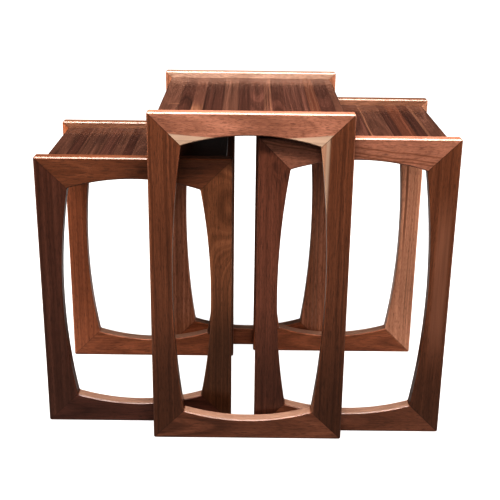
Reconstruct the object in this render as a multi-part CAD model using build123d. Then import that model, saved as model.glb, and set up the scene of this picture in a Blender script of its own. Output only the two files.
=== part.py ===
from build123d import *
import os

# A nest of three walnut tables. Each table is two closed end frames of mitred boards, with an edge-glued
# top of staves between them. X runs across the frames, Y from the front frame to the back frame, Z up.
# The origin is on the floor, at the centre of the set's footprint with the tables pulled apart.

# Driving dimensions, in millimetres
frame_width = 315.0  # every end frame, from leg to leg
stock = 21.0  # thickness of the frame boards
large_height = 556.0
large_length = 386.0  # front face to back face
height_step = 42.5  # each smaller table is this much lower
side_gap = 6.0  # between the end frames of two nested tables
medium_offset = 169.0  # how far the medium table is pulled out to the right
small_offset = 186.0  # how far the small table is pulled out to the left

corner_width = 51.0  # width of a frame board where it meets the mitre
waist_width = 34.5  # width of a frame board at the middle of its bow
outer_corner_radius = 3.0
window_corner_radius = 3.5
outer_chamfer = 2.0  # on the outer edges of a frame's front and back faces
window_chamfer = 1.5  # on the window's edges

lip = 11.0  # how far the frames stand above the top, and beyond its two sides
panel_thickness = 18.0
panel_edge_round = 1.5

# Widths of the staves in each top, from left to right
large_staves = (31, 20, 19, 31, 25, 19, 37, 20, 16, 22, 17, 23, 13)
medium_staves = (34, 30, 38, 32, 36, 38, 13, 24, 17, 31)
small_staves = (30, 17, 37, 22, 16, 15, 36, 41, 38, 41)

# Loose splines
spline_thickness = 6.0
mitre_spline_length = 40.0  # along the mitre
mitre_spline_depth = 20.0  # across the mitre, half in each board
mitre_spline_inset = 27.0  # from the outer edges to the spline's centre
panel_spline_length = 236.0
panel_spline_depth = 16.0  # half in the frame, half in the staves

# Worked out from the driving dimensions
length_step = 2 * (stock + side_gap)
panel_width = frame_width - 2 * lip
half_width = frame_width / 2
mitre_reach = corner_width + 2 * window_corner_radius  # just past the inner end of every mitre
large_x = (small_offset - medium_offset) / 2  # centres the pulled-out set on the origin

medium_x = large_x + medium_offset
small_x = large_x - small_offset

# name, centre along X, steps down in size from the large table, stave widths
tables = (
    ("large", large_x, 0, large_staves),
    ("medium", medium_x, 1, medium_staves),
    ("small", small_x, 2, small_staves),
)


def window_outline(height):
    """The opening of an end frame: four shallow outward bows that meet in softened corners."""
    bow = corner_width - waist_width
    x = half_width - corner_width
    z = height / 2 - corner_width
    corners = [(-x, -z), (x, -z), (x, z), (-x, z)]
    crowns = [(0, -z - bow), (x + bow, 0), (0, z + bow), (-x - bow, 0)]
    sides = [ThreePointArc(corners[i], crowns[i], corners[(i + 1) % 4]) for i in range(4)]
    opening = make_face(Curve() + sides)
    return fillet(opening.vertices(), window_corner_radius)


def frame_loop(height, front_y):
    """A whole end frame before it is cut into boards. Its front face is at front_y, its foot at z = 0."""
    outline = RectangleRounded(frame_width, height, outer_corner_radius) - window_outline(height)
    front_face = Plane(origin=(0, front_y, height / 2), x_dir=(1, 0, 0), z_dir=(0, -1, 0))
    loop = extrude(front_face * outline, -stock)
    outer_edges = [edge for face in loop.faces().filter_by(Axis.Y) for edge in face.outer_wire().edges()]
    loop = chamfer(outer_edges, outer_chamfer)
    windows = [window for face in loop.faces().filter_by(Axis.Y) for window in face.inner_wires()]
    return chamfer([edge for window in windows for edge in window.edges()], window_chamfer)


def board_zones(height):
    """The four wedges between the mitres, which cut a frame loop into its rails and legs."""
    top, inner_x = height, half_width - mitre_reach
    inner_low, inner_high = mitre_reach, height - mitre_reach
    return {
        "top_rail": [(-half_width, top), (half_width, top), (inner_x, inner_high), (-inner_x, inner_high)],
        "bottom_rail": [(-half_width, 0), (half_width, 0), (inner_x, inner_low), (-inner_x, inner_low)],
        "left_leg": [(-half_width, 0), (-inner_x, inner_low), (-inner_x, inner_high), (-half_width, top)],
        "right_leg": [(half_width, 0), (inner_x, inner_low), (inner_x, inner_high), (half_width, top)],
    }


def mitre_splines(height, front_y):
    """Four plates, one across each corner of an end frame, in the middle of the boards' thickness."""
    x = half_width - mitre_spline_inset
    low, high = mitre_spline_inset, height - mitre_spline_inset
    middle_y = front_y + stock / 2
    plate = Box(mitre_spline_length, spline_thickness, mitre_spline_depth)
    corners = [(x, high, -45), (-x, high, 45), (x, low, 45), (-x, low, -45)]
    return [Pos(cx, middle_y, cz) * Rot(0, turn, 0) * plate for cx, cz, turn in corners]


def panel_splines(height, length):
    """Two long plates, one at each end of the top, half in the frame and half in the staves."""
    y = length / 2 - stock
    z = height - lip - panel_thickness / 2
    plate = Box(panel_spline_length, panel_spline_depth, spline_thickness)
    return [Pos(0, side * y, z) * plate for side in (-1, 1)]


def end_frame(height, front_y, splines):
    """The four boards of one end frame, grooved for the splines."""
    loop = frame_loop(height, front_y)
    boards = {}
    for board_name, corners in board_zones(height).items():
        outline = Plane.XZ * make_face(Polyline(*corners, close=True))
        zone = Pos(0, front_y, 0) * extrude(outline, -stock)
        boards[board_name] = (loop & zone) - splines
    return boards


def top_staves(height, length, widths, splines):
    """The staves of a top, side by side between the end frames, grooved at both ends."""
    stave_length = length - 2 * stock
    middle_z = height - lip - panel_thickness / 2
    left = -panel_width / 2
    staves = []
    for stave_width in widths:
        stave = Pos(left + stave_width / 2, 0, middle_z) * Box(stave_width, stave_length, panel_thickness)
        staves.append(stave)
        left += stave_width
    first_edges = staves[0].edges().filter_by(Axis.Y).sort_by(Axis.X)[:2]
    last_edges = staves[-1].edges().filter_by(Axis.Y).sort_by(Axis.X)[-2:]
    staves[0] = fillet(first_edges, panel_edge_round)
    staves[-1] = fillet(last_edges, panel_edge_round)
    return [stave - splines for stave in staves]


def build_table(height, length, widths):
    """All the pieces of one table, by name, centred on x = 0."""
    panel_plates = panel_splines(height, length)
    pieces = {}
    plates = list(panel_plates)
    for end_name, front_y in (("front", -length / 2), ("back", length / 2 - stock)):
        corner_plates = mitre_splines(height, front_y)
        plates += corner_plates
        for board_name, board in end_frame(height, front_y, corner_plates + panel_plates).items():
            pieces[f"{end_name}_{board_name}"] = board
    for number, stave in enumerate(top_staves(height, length, widths, panel_plates), start=1):
        pieces[f"top_stave_{number:02d}"] = stave
    pieces["splines"] = Compound(plates)
    return pieces


os.makedirs("parts", exist_ok=True)
for table_name, centre_x, steps, widths in tables:
    pieces = build_table(large_height - steps * height_step, large_length - steps * length_step, widths)
    for piece_name, piece in pieces.items():
        export_step(Pos(centre_x, 0, 0) * piece, f"parts/{table_name}_{piece_name}.step")
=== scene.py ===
import math

import bpy
from mathutils import Matrix, Vector


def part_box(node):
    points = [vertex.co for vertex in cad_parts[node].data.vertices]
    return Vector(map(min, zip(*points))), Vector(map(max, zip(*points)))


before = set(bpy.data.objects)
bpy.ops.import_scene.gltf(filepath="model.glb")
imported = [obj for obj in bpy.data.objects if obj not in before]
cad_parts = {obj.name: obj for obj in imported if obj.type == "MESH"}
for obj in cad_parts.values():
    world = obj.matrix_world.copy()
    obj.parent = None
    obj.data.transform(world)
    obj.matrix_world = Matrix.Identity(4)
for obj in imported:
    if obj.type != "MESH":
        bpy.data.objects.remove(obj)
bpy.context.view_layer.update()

MM = 0.001
TABLES = ("large", "medium", "small")
WHITE = (1, 1, 1, 1)


def table_box(table):
    """Lowest and highest corner of one table."""
    low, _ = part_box(f"{table}_front_left_leg")
    _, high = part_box(f"{table}_back_right_leg")
    return low, high


# ---------------------------------------------------------------- node trees

class Nodes:
    """A short way to write a node tree: every call makes a node and returns its main output."""

    def __init__(self, owner):
        owner.use_nodes = True
        self.tree = owner.node_tree
        self.surface = self.tree.nodes.get("Principled BSDF")

    def feed(self, socket, value):
        """Links the value to a socket, or sets it there when it is a plain number or colour."""
        if isinstance(value, bpy.types.NodeSocket):
            self.tree.links.new(value, socket)
        else:
            socket.default_value = value

    def add(self, kind, inputs=(), output=0, **settings):
        node = self.tree.nodes.new(kind)
        for key, value in settings.items():
            setattr(node, key, value)
        for key, value in dict(inputs).items():
            self.feed(node.inputs[key], value)
        return node.outputs[output]

    def math(self, operation, a, b=0.0, c=0.0):
        return self.add("ShaderNodeMath", {0: a, 1: b, 2: c}, operation=operation)

    def add_up(self, start, *terms):
        """start plus each (value, weight), with every value counted from its middle, 0.5."""
        total = start
        for value, weight in terms:
            total = self.math("ADD", total, self.math("MULTIPLY_ADD", value, weight, -0.5 * weight))
        return total

    def length(self, a, b):
        """Length of the diagonal of a and b."""
        squares = self.math("ADD", self.math("MULTIPLY", a, a), self.math("MULTIPLY", b, b))
        return self.math("SQRT", squares)

    def split(self, vector):
        """The X, Y and Z of a vector."""
        return self.add("ShaderNodeSeparateXYZ", {0: vector}).node.outputs

    def mix_colours(self, share, a, b, blend="MIX"):
        """Sockets 6 and 7 of a Mix node are its two colours, and output 2 is the mixed colour."""
        inputs = {0: share, 6: a, 7: b}
        return self.add("ShaderNodeMix", inputs, 2, data_type="RGBA", blend_type=blend)

    def mix_values(self, share, a, b):
        """Sockets 2 and 3 of a Mix node are its two numbers."""
        return self.add("ShaderNodeMix", {0: share, 2: a, 3: b})

    def smooth(self, value, low, high):
        """Rises softly from 0 where the value is low to 1 where it is high. low may be the larger."""
        inputs = {"Value": value, "From Min": low, "From Max": high}
        return self.add("ShaderNodeMapRange", inputs, interpolation_type="SMOOTHSTEP")

    def band(self, value, middle, half_width, soft):
        """1 within half_width of the middle, falling softly to 0."""
        distance = self.math("ABSOLUTE", self.math("SUBTRACT", value, middle))
        return self.smooth(distance, half_width + soft, half_width)

    def noise(self, vector, scale, detail, roughness, shift):
        """Noise with a scale of its own along each axis, in cycles per metre."""
        place = self.add("ShaderNodeMapping", {"Vector": vector, "Scale": scale, "Location": (shift,) * 3})
        inputs = {"Vector": place, "Scale": 1.0, "Detail": detail, "Roughness": roughness}
        return self.add("ShaderNodeTexNoise", inputs)

    def ramp(self, value, stops):
        node = self.tree.nodes.new("ShaderNodeValToRGB")
        while len(node.color_ramp.elements) < len(stops):
            node.color_ramp.elements.new(0.5)
        for element, (place, colour) in zip(node.color_ramp.elements, stops):
            element.position = place
            element.color = (*colour, 1)
        self.feed(node.inputs[0], value)
        return node.outputs[0]


# ---------------------------------------------------------------- camera, floor and lights

LENS = 69.2  # focal length, in millimetres
SENSOR = 36.0  # width of the sensor, in millimetres
CAMERA_BACK = 5.116  # where the camera stands, in widths of the large table
CAMERA_UP = 2.715
CAMERA_ASIDE = -0.0231
CAMERA_TURN = (-0.32, -20.0, -0.755)  # yaw, pitch and roll, in degrees

SOFT_BOXES = {  # place, point it faces, size, and how bright it looks along its axis
    "overhead": ((0.0, -0.25, 1.55), (0.0, -0.25, 0.0), (1.6, 0.62), 13.5),
    "overhead_front": ((0.0, -1.03, 1.55), (0.0, -0.19, 0.3), (1.4, 0.2), 24.0),
    "front": ((0.0, -1.9, 1.25), (0.0, 0.0, 0.35), (1.4, 0.4), 8.0),
    "left": ((-1.5, -0.35, 0.8), (0.0, 0.15, 0.2), (0.4, 0.9), 10.0),
    "right": ((1.5, -0.35, 0.8), (0.0, 0.15, 0.2), (0.4, 0.9), 10.0),
}
ROOM_LIGHT = 0.06  # how bright the room is for the tables
ROOM_SEEN = 1.0  # and for the camera

FLOOR_HALF = 30.0  # half of the floor's side, in metres
PAPER_ROUGHNESS = 0.95
PAPER_FRONT = (0.10, 0.10, 0.10, 1)  # the light that the paper bounces in front of the tables
PAPER_BACK = (0.30, 0.30, 0.30, 1)  # and behind them
PAPER_CHANGE = (-0.3, 0.1)  # where along Y the one becomes the other
GLOW = 0.1  # light that the paper gives off behind the tables
GLOW_RISE = (0.15, 0.6)  # where along Y the glow rises
WHITE_NEAR = 0.50  # light that the paper gives off to the camera by the tables
WHITE_GAIN = 0.2  # and what it gains away from them
WHITE_RISE = (0.6, 2.0)  # how far from the origin it gains that


def make_camera():
    """A long lens in front of the large table and above it, at the reference view's angle."""
    low, high = table_box("large")
    width = high.x - low.x
    centre = (low + high) / 2
    camera = bpy.data.objects.new("camera", bpy.data.cameras.new("camera"))
    bpy.context.scene.collection.objects.link(camera)
    bpy.context.scene.camera = camera
    camera.data.lens = LENS
    camera.data.sensor_width = SENSOR
    yaw, pitch, roll = (math.radians(angle) for angle in CAMERA_TURN)
    turn = Matrix.Rotation(yaw, 3, "Z") @ Matrix.Rotation(pitch, 3, "X") @ Matrix.Rotation(roll, 3, "Y")
    upright = Matrix.Rotation(math.radians(90), 3, "X")
    camera.matrix_world = (turn @ upright).to_4x4()
    across = centre.x + CAMERA_ASIDE * width
    camera.location = (across, centre.y - CAMERA_BACK * width, CAMERA_UP * width)


def floor_paper():
    """Pale paper that fades to white around the tables, and glows a little behind them."""
    material = bpy.data.materials.new("floor_paper")
    n = Nodes(material)
    n.surface.inputs["Roughness"].default_value = PAPER_ROUGHNESS
    n.surface.inputs["Emission Color"].default_value = WHITE
    place = n.add("ShaderNodeTexCoord", output="Object")
    reach = n.add("ShaderNodeVectorMath", {0: place}, "Value", operation="LENGTH")
    behind = n.split(place)["Y"]
    paper = n.mix_colours(n.smooth(behind, *PAPER_CHANGE), PAPER_FRONT, PAPER_BACK)
    n.feed(n.surface.inputs["Base Color"], paper)
    glow = n.math("MULTIPLY", n.smooth(behind, *GLOW_RISE), GLOW)
    seen = n.math("MULTIPLY_ADD", n.smooth(reach, *WHITE_RISE), WHITE_GAIN, WHITE_NEAR)
    straight = n.add("ShaderNodeLightPath", output="Is Camera Ray")
    n.feed(n.surface.inputs["Emission Strength"], n.mix_values(straight, glow, seen))
    return material


def make_floor():
    """A plain pale studio floor."""
    half = FLOOR_HALF
    corners = [(-half, -half, 0), (half, -half, 0), (half, half, 0), (-half, half, 0)]
    mesh = bpy.data.meshes.new("floor")
    mesh.from_pydata(corners, [], [(0, 1, 2, 3)])
    mesh.materials.append(floor_paper())
    floor = bpy.data.objects.new("floor", mesh)
    bpy.context.scene.collection.objects.link(floor)


def area_light(name, at, aim, size, radiance):
    """A soft box that the camera doesn't see."""
    data = bpy.data.lights.new(name, "AREA")
    data.shape = "RECTANGLE"
    data.size, data.size_y = size
    data.energy = radiance * math.pi * size[0] * size[1]
    light = bpy.data.objects.new(name, data)
    bpy.context.scene.collection.objects.link(light)
    light.visible_camera = False
    light.location = at
    light.rotation_mode = "QUATERNION"
    light.rotation_quaternion = (Vector(aim) - Vector(at)).to_track_quat("-Z", "Y")


def make_lights():
    """Soft boxes overhead, in front and at the sides, in a dark room that looks white to the camera."""
    for name, (at, aim, size, radiance) in SOFT_BOXES.items():
        area_light(name, at, aim, size, radiance)
    world = bpy.data.worlds.new("studio")
    n = Nodes(world)
    background = n.tree.nodes["Background"]
    background.inputs["Color"].default_value = WHITE
    straight = n.add("ShaderNodeLightPath", output="Is Camera Ray")
    n.feed(background.inputs["Strength"], n.mix_values(straight, ROOM_LIGHT, ROOM_SEEN))
    bpy.context.scene.world = world
    bpy.context.scene.view_settings.view_transform = "Standard"
    bpy.context.scene.view_settings.look = "Very High Contrast"


# ---------------------------------------------------------------- wood

AXES = {"X": (2, 1, 0), "Y": (0, 2, 1), "Z": (0, 1, 2)}  # for each grain direction: across, through, along

TONES = {  # colour of the plain wood between its streaks
    "black": (0.030, 0.014, 0.010),
    "dark": (0.050, 0.021, 0.014),
    "mid": (0.066, 0.029, 0.020),
    "red": (0.080, 0.032, 0.019),
    "brown": (0.076, 0.036, 0.024),
    "tan": (0.100, 0.048, 0.029),
    "leg": (0.123, 0.052, 0.028),
    "leg_dark": (0.072, 0.031, 0.020),
    "leg_red": (0.140, 0.059, 0.037),
    "olive": (0.152, 0.068, 0.035),
    "foot_dark": (0.086, 0.036, 0.024),
    "foot": (0.143, 0.062, 0.036),
    "orange": (0.146, 0.074, 0.046),
    "amber": (0.230, 0.092, 0.048),
    "copper": (0.330, 0.156, 0.096),
    "pale": (0.400, 0.212, 0.140),
    "rose": (0.222, 0.108, 0.073),
    "peach": (0.240, 0.152, 0.113),
    "sap": (0.306, 0.215, 0.160),
    "beech": (0.560, 0.360, 0.220),
}
GRAIN_RAMP = (  # place between the darkest and the lightest grain, how light beside the tone, how warm
    (0.15, 0.42, 0.04),
    (0.40, 0.82, 0.02),
    (0.58, 1.08, 0.0),
    (0.85, 1.62, -0.04),
)
NOISES = {  # cycles per metre across the grain and along it, detail, roughness and a shift of its own
    "fibre": (1300, 22, 3.0, 0.6, 31.0),
    "pores": (1200, 75, 1.0, 0.5, 3.0),
    "flecks": (800, 150, 2.0, 0.6, 71.0),
    "lines": (420, 4, 2.5, 0.65, 5.0),
    "grain": (300, 10, 2.0, 0.5, 5.0),
    "wiggle": (55, 13, 2.0, 0.5, 23.0),
    "rubbing": (30, 30, 2.0, 0.5, 13.0),
    "polish": (25, 8, 2.0, 0.5, 17.0),
    "clouds": (14, 3, 3.0, 0.55, 47.0),
    "bend": (7, 1.6, 2.0, 0.5, 11.0),
    "wander": (1, 6, 1.0, 0.5, 91.0),
    "wave": (1, 14, 2.0, 0.5, 91.0),
}
SEED_SHIFT = 3.71  # how far each seed moves a board through the noise
RING_SHIFT = 7.7  # and through the rings
SIDE_PICK = 2.3  # the sine of the seed times this picks the side of the tree's heart
CUT_PICK = 5.1  # and of the seed times this, a stave's cut
RINGS_PER_METRE = 165.0
RING_WEIGHT = 0.75  # share of the rings in the grain's lightness
FIBRE_WEIGHT = 0.7
KNOT_SQUASH = 0.4  # a knot's width beside its length along the grain
KNOT_SWELL = 0.9  # how far it pushes the rings aside, in its sizes
KNOT_HEART = (0.3, 0.08)  # where its dark heart fades and is full, in its sizes
PORE_EDGE = (0.42, 0.35)  # noise at which pores and flecks begin, and are full
PORE_SHADE = 0.3  # how light a pore is beside the tone
FLECK_EDGE = (0.46, 0.40)
FLECK_SHADE = (0.45, 0.1)  # how light a fleck is, and how warm
GRAIN_SHOWS = (0.7, 0.65)  # gain and base of the grain that shows through a colour laid over it
RUBBED_EDGE = (0.94, 0.80)  # the largest part of the normal, so that only chamfers and rounds are rubbed
RUBBED_PATCHES = (1.2, 0.2)  # gain and base of the patches in which they are rubbed
RUBBED_TINT = (1.7, 1.6, 1.5, 1)
FIBRE_SHEEN = 0.2  # shares by which the fibre, patches and pores change the roughness
PATCH_SHEEN = 0.3
PORE_SHEEN = 0.3
PORE_HEIGHT = -0.8  # beside the fibre's height
RELIEF_DEPTH = 0.3 * MM
REFRACTION = 1.5


def shade(tone, amount, warm=0.0):
    """A tone made lighter or darker, and warmer if warm is over 0."""
    red, green, blue = TONES[tone]
    return red * amount, green * amount * (1 - warm), blue * amount * (1 - 2 * warm)


class Board:
    """One piece of wood and its grain. Depth runs from its outer edge inwards."""

    def __init__(self, node, grain, seed, outer_high=False):
        self.material = bpy.data.materials.new(node)
        self.n = Nodes(self.material)
        self.seed = seed
        self.swell = []  # mask and height of each place where the grain flows round a knot
        low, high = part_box(node)
        middle = (low + high) / 2
        across, through, along = AXES[grain]
        self.size = high[across] - low[across]
        sign = -1.0 if outer_high else 1.0
        edge = high[across] if outer_high else low[across]
        n = self.n
        parts = n.split(n.add("ShaderNodeTexCoord", output="Object"))
        self.depth = n.math("MULTIPLY_ADD", parts[across], sign, -sign * edge)
        self.through = n.math("SUBTRACT", parts[through], middle[through])
        self.along = n.math("SUBTRACT", parts[along], middle[along])
        self.place = n.add("ShaderNodeCombineXYZ", {0: self.depth, 1: self.through, 2: self.along})

    def noise(self, name):
        """One of the NOISES, stretched along this board's grain."""
        fine, long, detail, roughness, salt = NOISES[name]
        shift = SEED_SHIFT * self.seed + salt
        return self.n.noise(self.place, (fine, fine, long), detail, roughness, shift)

    def knot(self, depth, along, radius):
        """The grain flows round a knot. Returns the mask of its dark heart."""
        n = self.n
        aside = n.math("SUBTRACT", self.depth, depth)
        ahead = n.math("MULTIPLY", n.math("SUBTRACT", self.along, along), KNOT_SQUASH)
        distance = n.length(aside, ahead)
        self.swell.append((n.smooth(distance, radius, 0.0), radius * KNOT_SWELL))
        return n.smooth(distance, *(radius * share for share in KNOT_HEART))

    def rings(self, cut, figure):
        """Growth rings, cut by the board's face as straight lines or as cathedral arches."""
        n = self.n
        side = 1 if math.sin(self.seed * SIDE_PICK) > 0 else -1
        # Where the tree's heart lies: aside of the board, behind its middle, and how it leans
        if cut == "straight":
            heart, behind, lean = 160 * MM * side, 50 * MM, 0.01 * side
        else:
            heart, behind, lean = 0.4 * self.size, 28 * MM, 0.07 * side
        bend = (self.noise("bend"), 30 * MM * figure)
        wiggle = (self.noise("wiggle"), 4 * MM * figure)
        aside = n.math("SUBTRACT", n.add_up(self.depth, bend, wiggle), heart)
        through = n.math("SUBTRACT", self.through, n.math("MULTIPLY_ADD", self.along, lean, behind))
        reach = n.length(aside, through)
        for mask, height in self.swell:
            reach = n.math("ADD", reach, n.math("MULTIPLY", mask, height))
        years = n.math("MULTIPLY_ADD", reach, RINGS_PER_METRE, self.seed * RING_SHIFT)
        inputs = {"W": years, "Scale": 1.0, "Detail": 3.0, "Roughness": 0.6}
        return n.add("ShaderNodeTexNoise", inputs, noise_dimensions="1D")

    def paint(self, tone, cut, figure=1.0, contrast=1.0, flecks=0.0, clouds=0.5, lines=0.4, pores=0.55):
        """The wood's own colour: rings, fine lines, fibres, clouds and pores."""
        n = self.n
        self.fibre = self.noise("fibre")
        value = n.add_up(
            0.5,
            (self.rings(cut, figure), RING_WEIGHT * contrast),
            (self.noise("lines"), lines),
            (self.fibre, FIBRE_WEIGHT * pores),
            (self.noise("clouds"), clouds),
        )
        colour = n.ramp(value, [(place, shade(tone, amount, warm)) for place, amount, warm in GRAIN_RAMP])
        self.pores = n.smooth(self.noise("pores"), *PORE_EDGE)
        colour = n.mix_colours(n.math("MULTIPLY", self.pores, pores), colour, (*shade(tone, PORE_SHADE), 1))
        if flecks:
            marks = n.math("MULTIPLY", n.smooth(self.noise("flecks"), *FLECK_EDGE), flecks)
            colour = n.mix_colours(marks, colour, (*shade(tone, *FLECK_SHADE), 1))
        self.colour = colour

    def blend(self, mask, tone, amount=1.0, strength=1.0):
        """Lays another wood colour over the part that the mask marks, and lets the grain show through."""
        n = self.n
        grain = n.math("MULTIPLY_ADD", self.noise("grain"), *GRAIN_SHOWS)
        colour = n.mix_colours(1.0, (*shade(tone, amount), 1), grain, "MULTIPLY")
        self.colour = n.mix_colours(n.math("MULTIPLY", strength, mask), self.colour, colour)

    def darken(self, mask, amount):
        """Multiplies the colour by the amount where the mask is 1."""
        n = self.n
        darker = n.mix_colours(1.0, self.colour, (amount, amount, amount, 1), "MULTIPLY")
        self.colour = n.mix_colours(mask, self.colour, darker)

    def streak(self, depth, half_width, tone, amount, strength):
        """A streak along the grain that wanders a little."""
        n = self.n
        wander = n.add_up(self.depth, (self.noise("wander"), 6 * MM))
        soft = 0.6 * half_width
        self.blend(n.band(wander, depth, half_width, soft), tone, amount, strength)

    def rub_edges(self, wear):
        """Lightens the chamfers and rounds, which face no axis squarely."""
        n = self.n
        normal = n.add("ShaderNodeNewGeometry", output="Normal")
        x, y, z = n.split(n.add("ShaderNodeVectorMath", {0: normal}, operation="ABSOLUTE"))
        edge = n.smooth(n.math("MAXIMUM", n.math("MAXIMUM", x, y), z), *RUBBED_EDGE)
        patches = n.math("MULTIPLY_ADD", self.noise("rubbing"), *RUBBED_PATCHES)
        rubbed = n.math("MULTIPLY", edge, patches)
        lighter = n.mix_colours(1.0, self.colour, RUBBED_TINT, "MULTIPLY")
        self.colour = n.mix_colours(n.math("MULTIPLY", rubbed, wear), self.colour, lighter)

    def finish(self, roughness=0.3, wear=0.35, relief=0.2):
        """Rubbed edges, satin sheen and the feel of the pores. Returns the material."""
        n = self.n
        self.rub_edges(wear)
        n.feed(n.surface.inputs["Base Color"], self.colour)
        fibre = (self.fibre, FIBRE_SHEEN * roughness)
        patches = (self.noise("polish"), PATCH_SHEEN * roughness)
        polish = n.add_up(roughness, fibre, patches)
        sheen = n.math("MULTIPLY_ADD", self.pores, PORE_SHEEN * roughness, polish)
        n.feed(n.surface.inputs["Roughness"], sheen)
        height = n.math("MULTIPLY_ADD", self.pores, PORE_HEIGHT, self.fibre)
        bump = n.add("ShaderNodeBump", {"Height": height, "Strength": relief, "Distance": RELIEF_DEPTH})
        n.feed(n.surface.inputs["Normal"], bump)
        n.surface.inputs["IOR"].default_value = REFRACTION
        return self.material


def dress(node, material):
    """Gives a CAD node its material."""
    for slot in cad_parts[node].material_slots:
        slot.material = material


STREAKS = {  # depth and half width in millimetres, tone, how light beside it, and strength
    "large_back_right_leg": ((20, 1.0, "peach", 1.0, 0.3), (27, 1.0, "peach", 1.0, 0.3)),
    "large_top_stave_07": (
        (25, 1.0, "orange", 0.7, 0.5),
        (29, 0.8, "orange", 0.8, 0.5),
        (34, 1.0, "orange", 1.0, 0.6),
    ),
    "large_top_stave_11": ((4, 1.2, "orange", 0.7, 0.4), (12, 1.0, "orange", 0.7, 0.4)),
    "medium_top_stave_06": ((3, 1.0, "orange", 1.0, 0.6),),
    "medium_top_stave_10": ((4, 2.0, "orange", 0.8, 0.5),),
}


def add_streaks(board, node):
    """The streaks that run from end to end of a board."""
    for depth, half_width, tone, amount, strength in STREAKS.get(node, ()):
        board.streak(depth * MM, half_width * MM, tone, amount, strength)


# ---------------------------------------------------------------- the end frames

FRAME_TONES = {  # front and back frames: top rail, left leg, right leg, bottom rail
    "large_front": ("rose", "leg", "leg", "foot"),
    "large_back": ("peach", "copper", "copper", "amber"),
    "medium_front": ("rose", "leg_red", "leg", "foot"),
    "medium_back": ("orange", "amber", "pale", "amber"),
    "small_front": ("leg", "leg_dark", "olive", "foot_dark"),
    "small_back": ("orange", "amber", "leg", "amber"),
}
BOARDS = ("top_rail", "left_leg", "right_leg", "bottom_rail")
PALE_TONES = ("rose", "peach")
RING_CONTRASTS = {"rose": 0.7, "peach": 0.7, "olive": 1.2}
LEG_PAINTED_SHADE_AND_DARKENING = {  # millimetres above a leg's middle where it starts to darken and is darkest, and by how much; the darkening towards the feet is painted shade, where less light reaches near the floor, and the copper and pale legs darken near their tops
    "leg": (0, -200, 0.64),
    "leg_red": (0, -200, 0.64),
    "olive": (40, -100, 0.5),
    "copper": (190, 225, 0.6),
    "pale": (190, 225, 0.6),
}
KNOTS = {  # depth from the outer edge, height from the board's middle and size, in millimetres
    "medium_front_left_leg": ((26, 211, 16), (43, 196, 9)),
    "small_front_right_leg": ((-12, 155, 60),),
    "medium_back_left_leg": ((22, 150, 12),),
}
SAP_DEPTH = 39 * MM  # where the sapwood begins, from the outer edge
VEIN_OFFSETS = (-9 * MM, 0.0, 5 * MM)
FACING_UP = (0.75, 0.9)  # upward part of the normal, from a rounded edge to a face that lies flat, over which the painted light on a bottom rail's upper face rises
MITRE_LINE = (0.6 * MM, 0.2 * MM)  # how far from the joint its dark line fades, and is full


def sapwood(board, node):
    """Pale sapwood beside the large front window, over it in an arch and down its right side."""
    n = board.n
    if node == "large_front_top_rail":
        arch = n.math("MULTIPLY", board.along, board.along)
        edge = n.math("MULTIPLY_ADD", arch, -0.45, SAP_DEPTH)
        board.blend(n.smooth(n.math("SUBTRACT", board.depth, edge), -1 * MM, 1.2 * MM), "sap")
    if node == "large_front_right_leg":
        edge = n.math("MULTIPLY_ADD", board.along, -0.008, SAP_DEPTH)
        inside = n.math("SUBTRACT", board.depth, edge)
        upper = n.smooth(board.along, 20 * MM, 150 * MM)
        board.blend(n.smooth(inside, -2 * MM, 3 * MM), "sap", 0.8, upper)
        board.blend(n.smooth(inside, 4 * MM, 8 * MM), "orange", 1.8, 0.6)


def veins(board, node):
    """Short streaks in two legs, and the slanting dark veins of the medium front top rail."""
    n = board.n
    if node == "medium_front_right_leg":
        reach = n.band(board.along, 20 * MM, 60 * MM, 110 * MM)
        board.streak(17 * MM, 8 * MM, "copper", 0.45, reach)
    if node == "medium_back_right_leg":
        reach = n.band(board.along, 80 * MM, 60 * MM, 90 * MM)
        board.streak(27 * MM, 1.5 * MM, "copper", 0.65, reach)
    if node == "medium_front_top_rail":
        slope = n.math("MULTIPLY_ADD", board.along, 0.12, 24 * MM)
        wave = n.add_up(board.depth, (board.noise("wave"), 12 * MM))
        slant = n.math("SUBTRACT", wave, slope)
        for offset in VEIN_OFFSETS:
            board.blend(n.band(slant, offset, 0.4 * MM, 1.5 * MM), "leg", 0.9, 0.7)


def painted_light_upper_face(board):
    """Painted light: the upward face of a bottom rail is made paler than its sides, standing in for the
    light from above that falls on it.
    """
    n = board.n
    upward = n.split(n.add("ShaderNodeNewGeometry", output="Normal"))["Z"]
    board.blend(n.smooth(upward, *FACING_UP), "peach", 1.1, 0.85)


def mitre_lines(board, half_length):
    """A fine dark line where the board meets its neighbours at the mitres."""
    n = board.n
    reach = n.math("SUBTRACT", half_length, n.math("ABSOLUTE", board.along))
    gap = n.math("ABSOLUTE", n.math("SUBTRACT", reach, board.depth))
    board.blend(n.smooth(gap, *MITRE_LINE), "dark", 0.6, 0.6)


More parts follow.
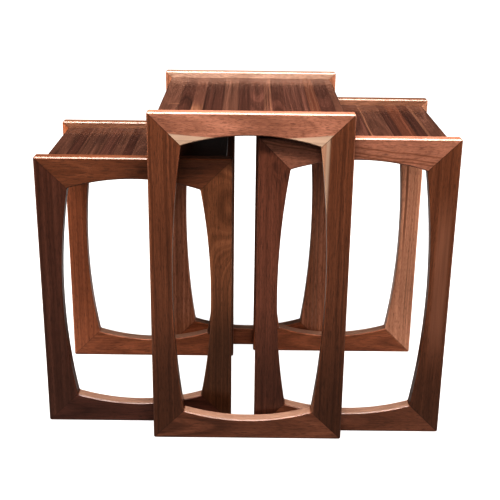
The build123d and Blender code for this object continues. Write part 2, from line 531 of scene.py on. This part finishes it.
def frame_board(end, name, tone, seed):
    """One board of an end frame."""
    node = f"{end}_{name}"
    rail = "rail" in name
    board = Board(node, "X" if rail else "Z", seed, outer_high=name in ("top_rail", "right_leg"))
    hearts = [board.knot(*(size * MM for size in knot)) for knot in KNOTS.get(node, ())]
    cut = "flat" if rail else "straight"
    contrast = RING_CONTRASTS.get(tone, 1.0)
    flecks, clouds = (0.5, 0.25) if tone in PALE_TONES else (0.2, 0.5)
    board.paint(tone, cut, contrast=contrast, flecks=flecks, clouds=clouds)
    for heart in hearts:
        board.blend(heart, "dark", 1.0, 0.6)
    sapwood(board, node)
    # Painted shade: legs darken towards the floor, where less light reaches; the copper and pale legs
    # darken near their tops
    if tone in LEG_PAINTED_SHADE_AND_DARKENING and not rail:
        start, darkest, amount = LEG_PAINTED_SHADE_AND_DARKENING[tone]
        board.darken(board.n.smooth(board.along, start * MM, darkest * MM), amount)
    add_streaks(board, node)
    veins(board, node)
    # Painted light on the upward face of each bottom rail
    if name == "bottom_rail":
        painted_light_upper_face(board)
    low, high = table_box(end.split("_")[0])
    mitre_lines(board, ((high.x - low.x) if rail else (high.z - low.z)) / 2)
    dress(node, board.finish())


def dress_frames():
    seed = 1.0
    for end, tones in FRAME_TONES.items():
        for name, tone in zip(BOARDS, tones):
            frame_board(end, name, tone, seed)
            seed += 1.0


# ---------------------------------------------------------------- the tops and the splines

STAVE_TONES = {  # from left to right
    "large": "brown dark tan dark brown dark mid dark mid mid red dark brown",
    "medium": "tan brown red dark mid brown dark red dark brown",
    "small": "brown dark brown mid brown dark brown tan dark brown",
}
STAVE_SHADES = {"large": 0.94, "medium": 0.84, "small": 0.75}
STAVE_LINE = (0.5 * MM, 0.15 * MM)  # how far from a stave's side its dark line fades, and is full


def stave_marks(board, node):
    """Marks that single staves show: a pale line across, a paler front end, a dark patch."""
    n = board.n
    if node == "large_top_stave_01":
        line = n.band(board.along, -70 * MM, 0.5 * MM, 3 * MM)
        mask = n.math("MULTIPLY", line, n.smooth(board.depth, 10 * MM, 20 * MM))
        board.blend(mask, "orange", 1.4, 0.5)
    if node == "large_top_stave_03":
        board.blend(n.smooth(board.along, -110 * MM, -50 * MM), "mid", 1.0, 0.8)
    if node == "small_top_stave_03":
        across = n.band(board.depth, 24 * MM, 4 * MM, 12 * MM)
        along = n.band(board.along, 30 * MM, 10 * MM, 60 * MM)
        board.blend(n.math("MULTIPLY", across, along), "black", 1.0, 0.5)


def stave(node, tone, amount, seed):
    """One stave of a top, with a fine glue line along both of its sides."""
    board = Board(node, "Y", seed)
    n = board.n
    cut = "flat" if math.sin(seed * CUT_PICK) > 0 else "straight"
    board.paint(tone, cut, figure=0.7, clouds=0.2, lines=0.85, pores=0.25)
    board.darken(1.0, amount)
    add_streaks(board, node)
    stave_marks(board, node)
    sides = n.math("MINIMUM", board.depth, n.math("SUBTRACT", board.size, board.depth))
    board.blend(n.smooth(sides, *STAVE_LINE), "black", 0.7, 0.6)
    dress(node, board.finish(roughness=0.2, wear=0.2, relief=0.02))


def dress_tops():
    seed = 40.0
    for table, tones in STAVE_TONES.items():
        for number, tone in enumerate(tones.split(), start=1):
            stave(f"{table}_top_stave_{number:02d}", tone, STAVE_SHADES[table], seed)
            seed += 1.0


def dress_splines():
    seed = 80.0
    for table in TABLES:
        node = f"{table}_splines"
        board = Board(node, "Y", seed)
        board.paint("beech", "straight", figure=0.6, contrast=0.5)
        dress(node, board.finish(roughness=0.5))
        seed += 1.0


make_camera()
make_floor()
make_lights()
dress_frames()
dress_tops()
dress_splines()
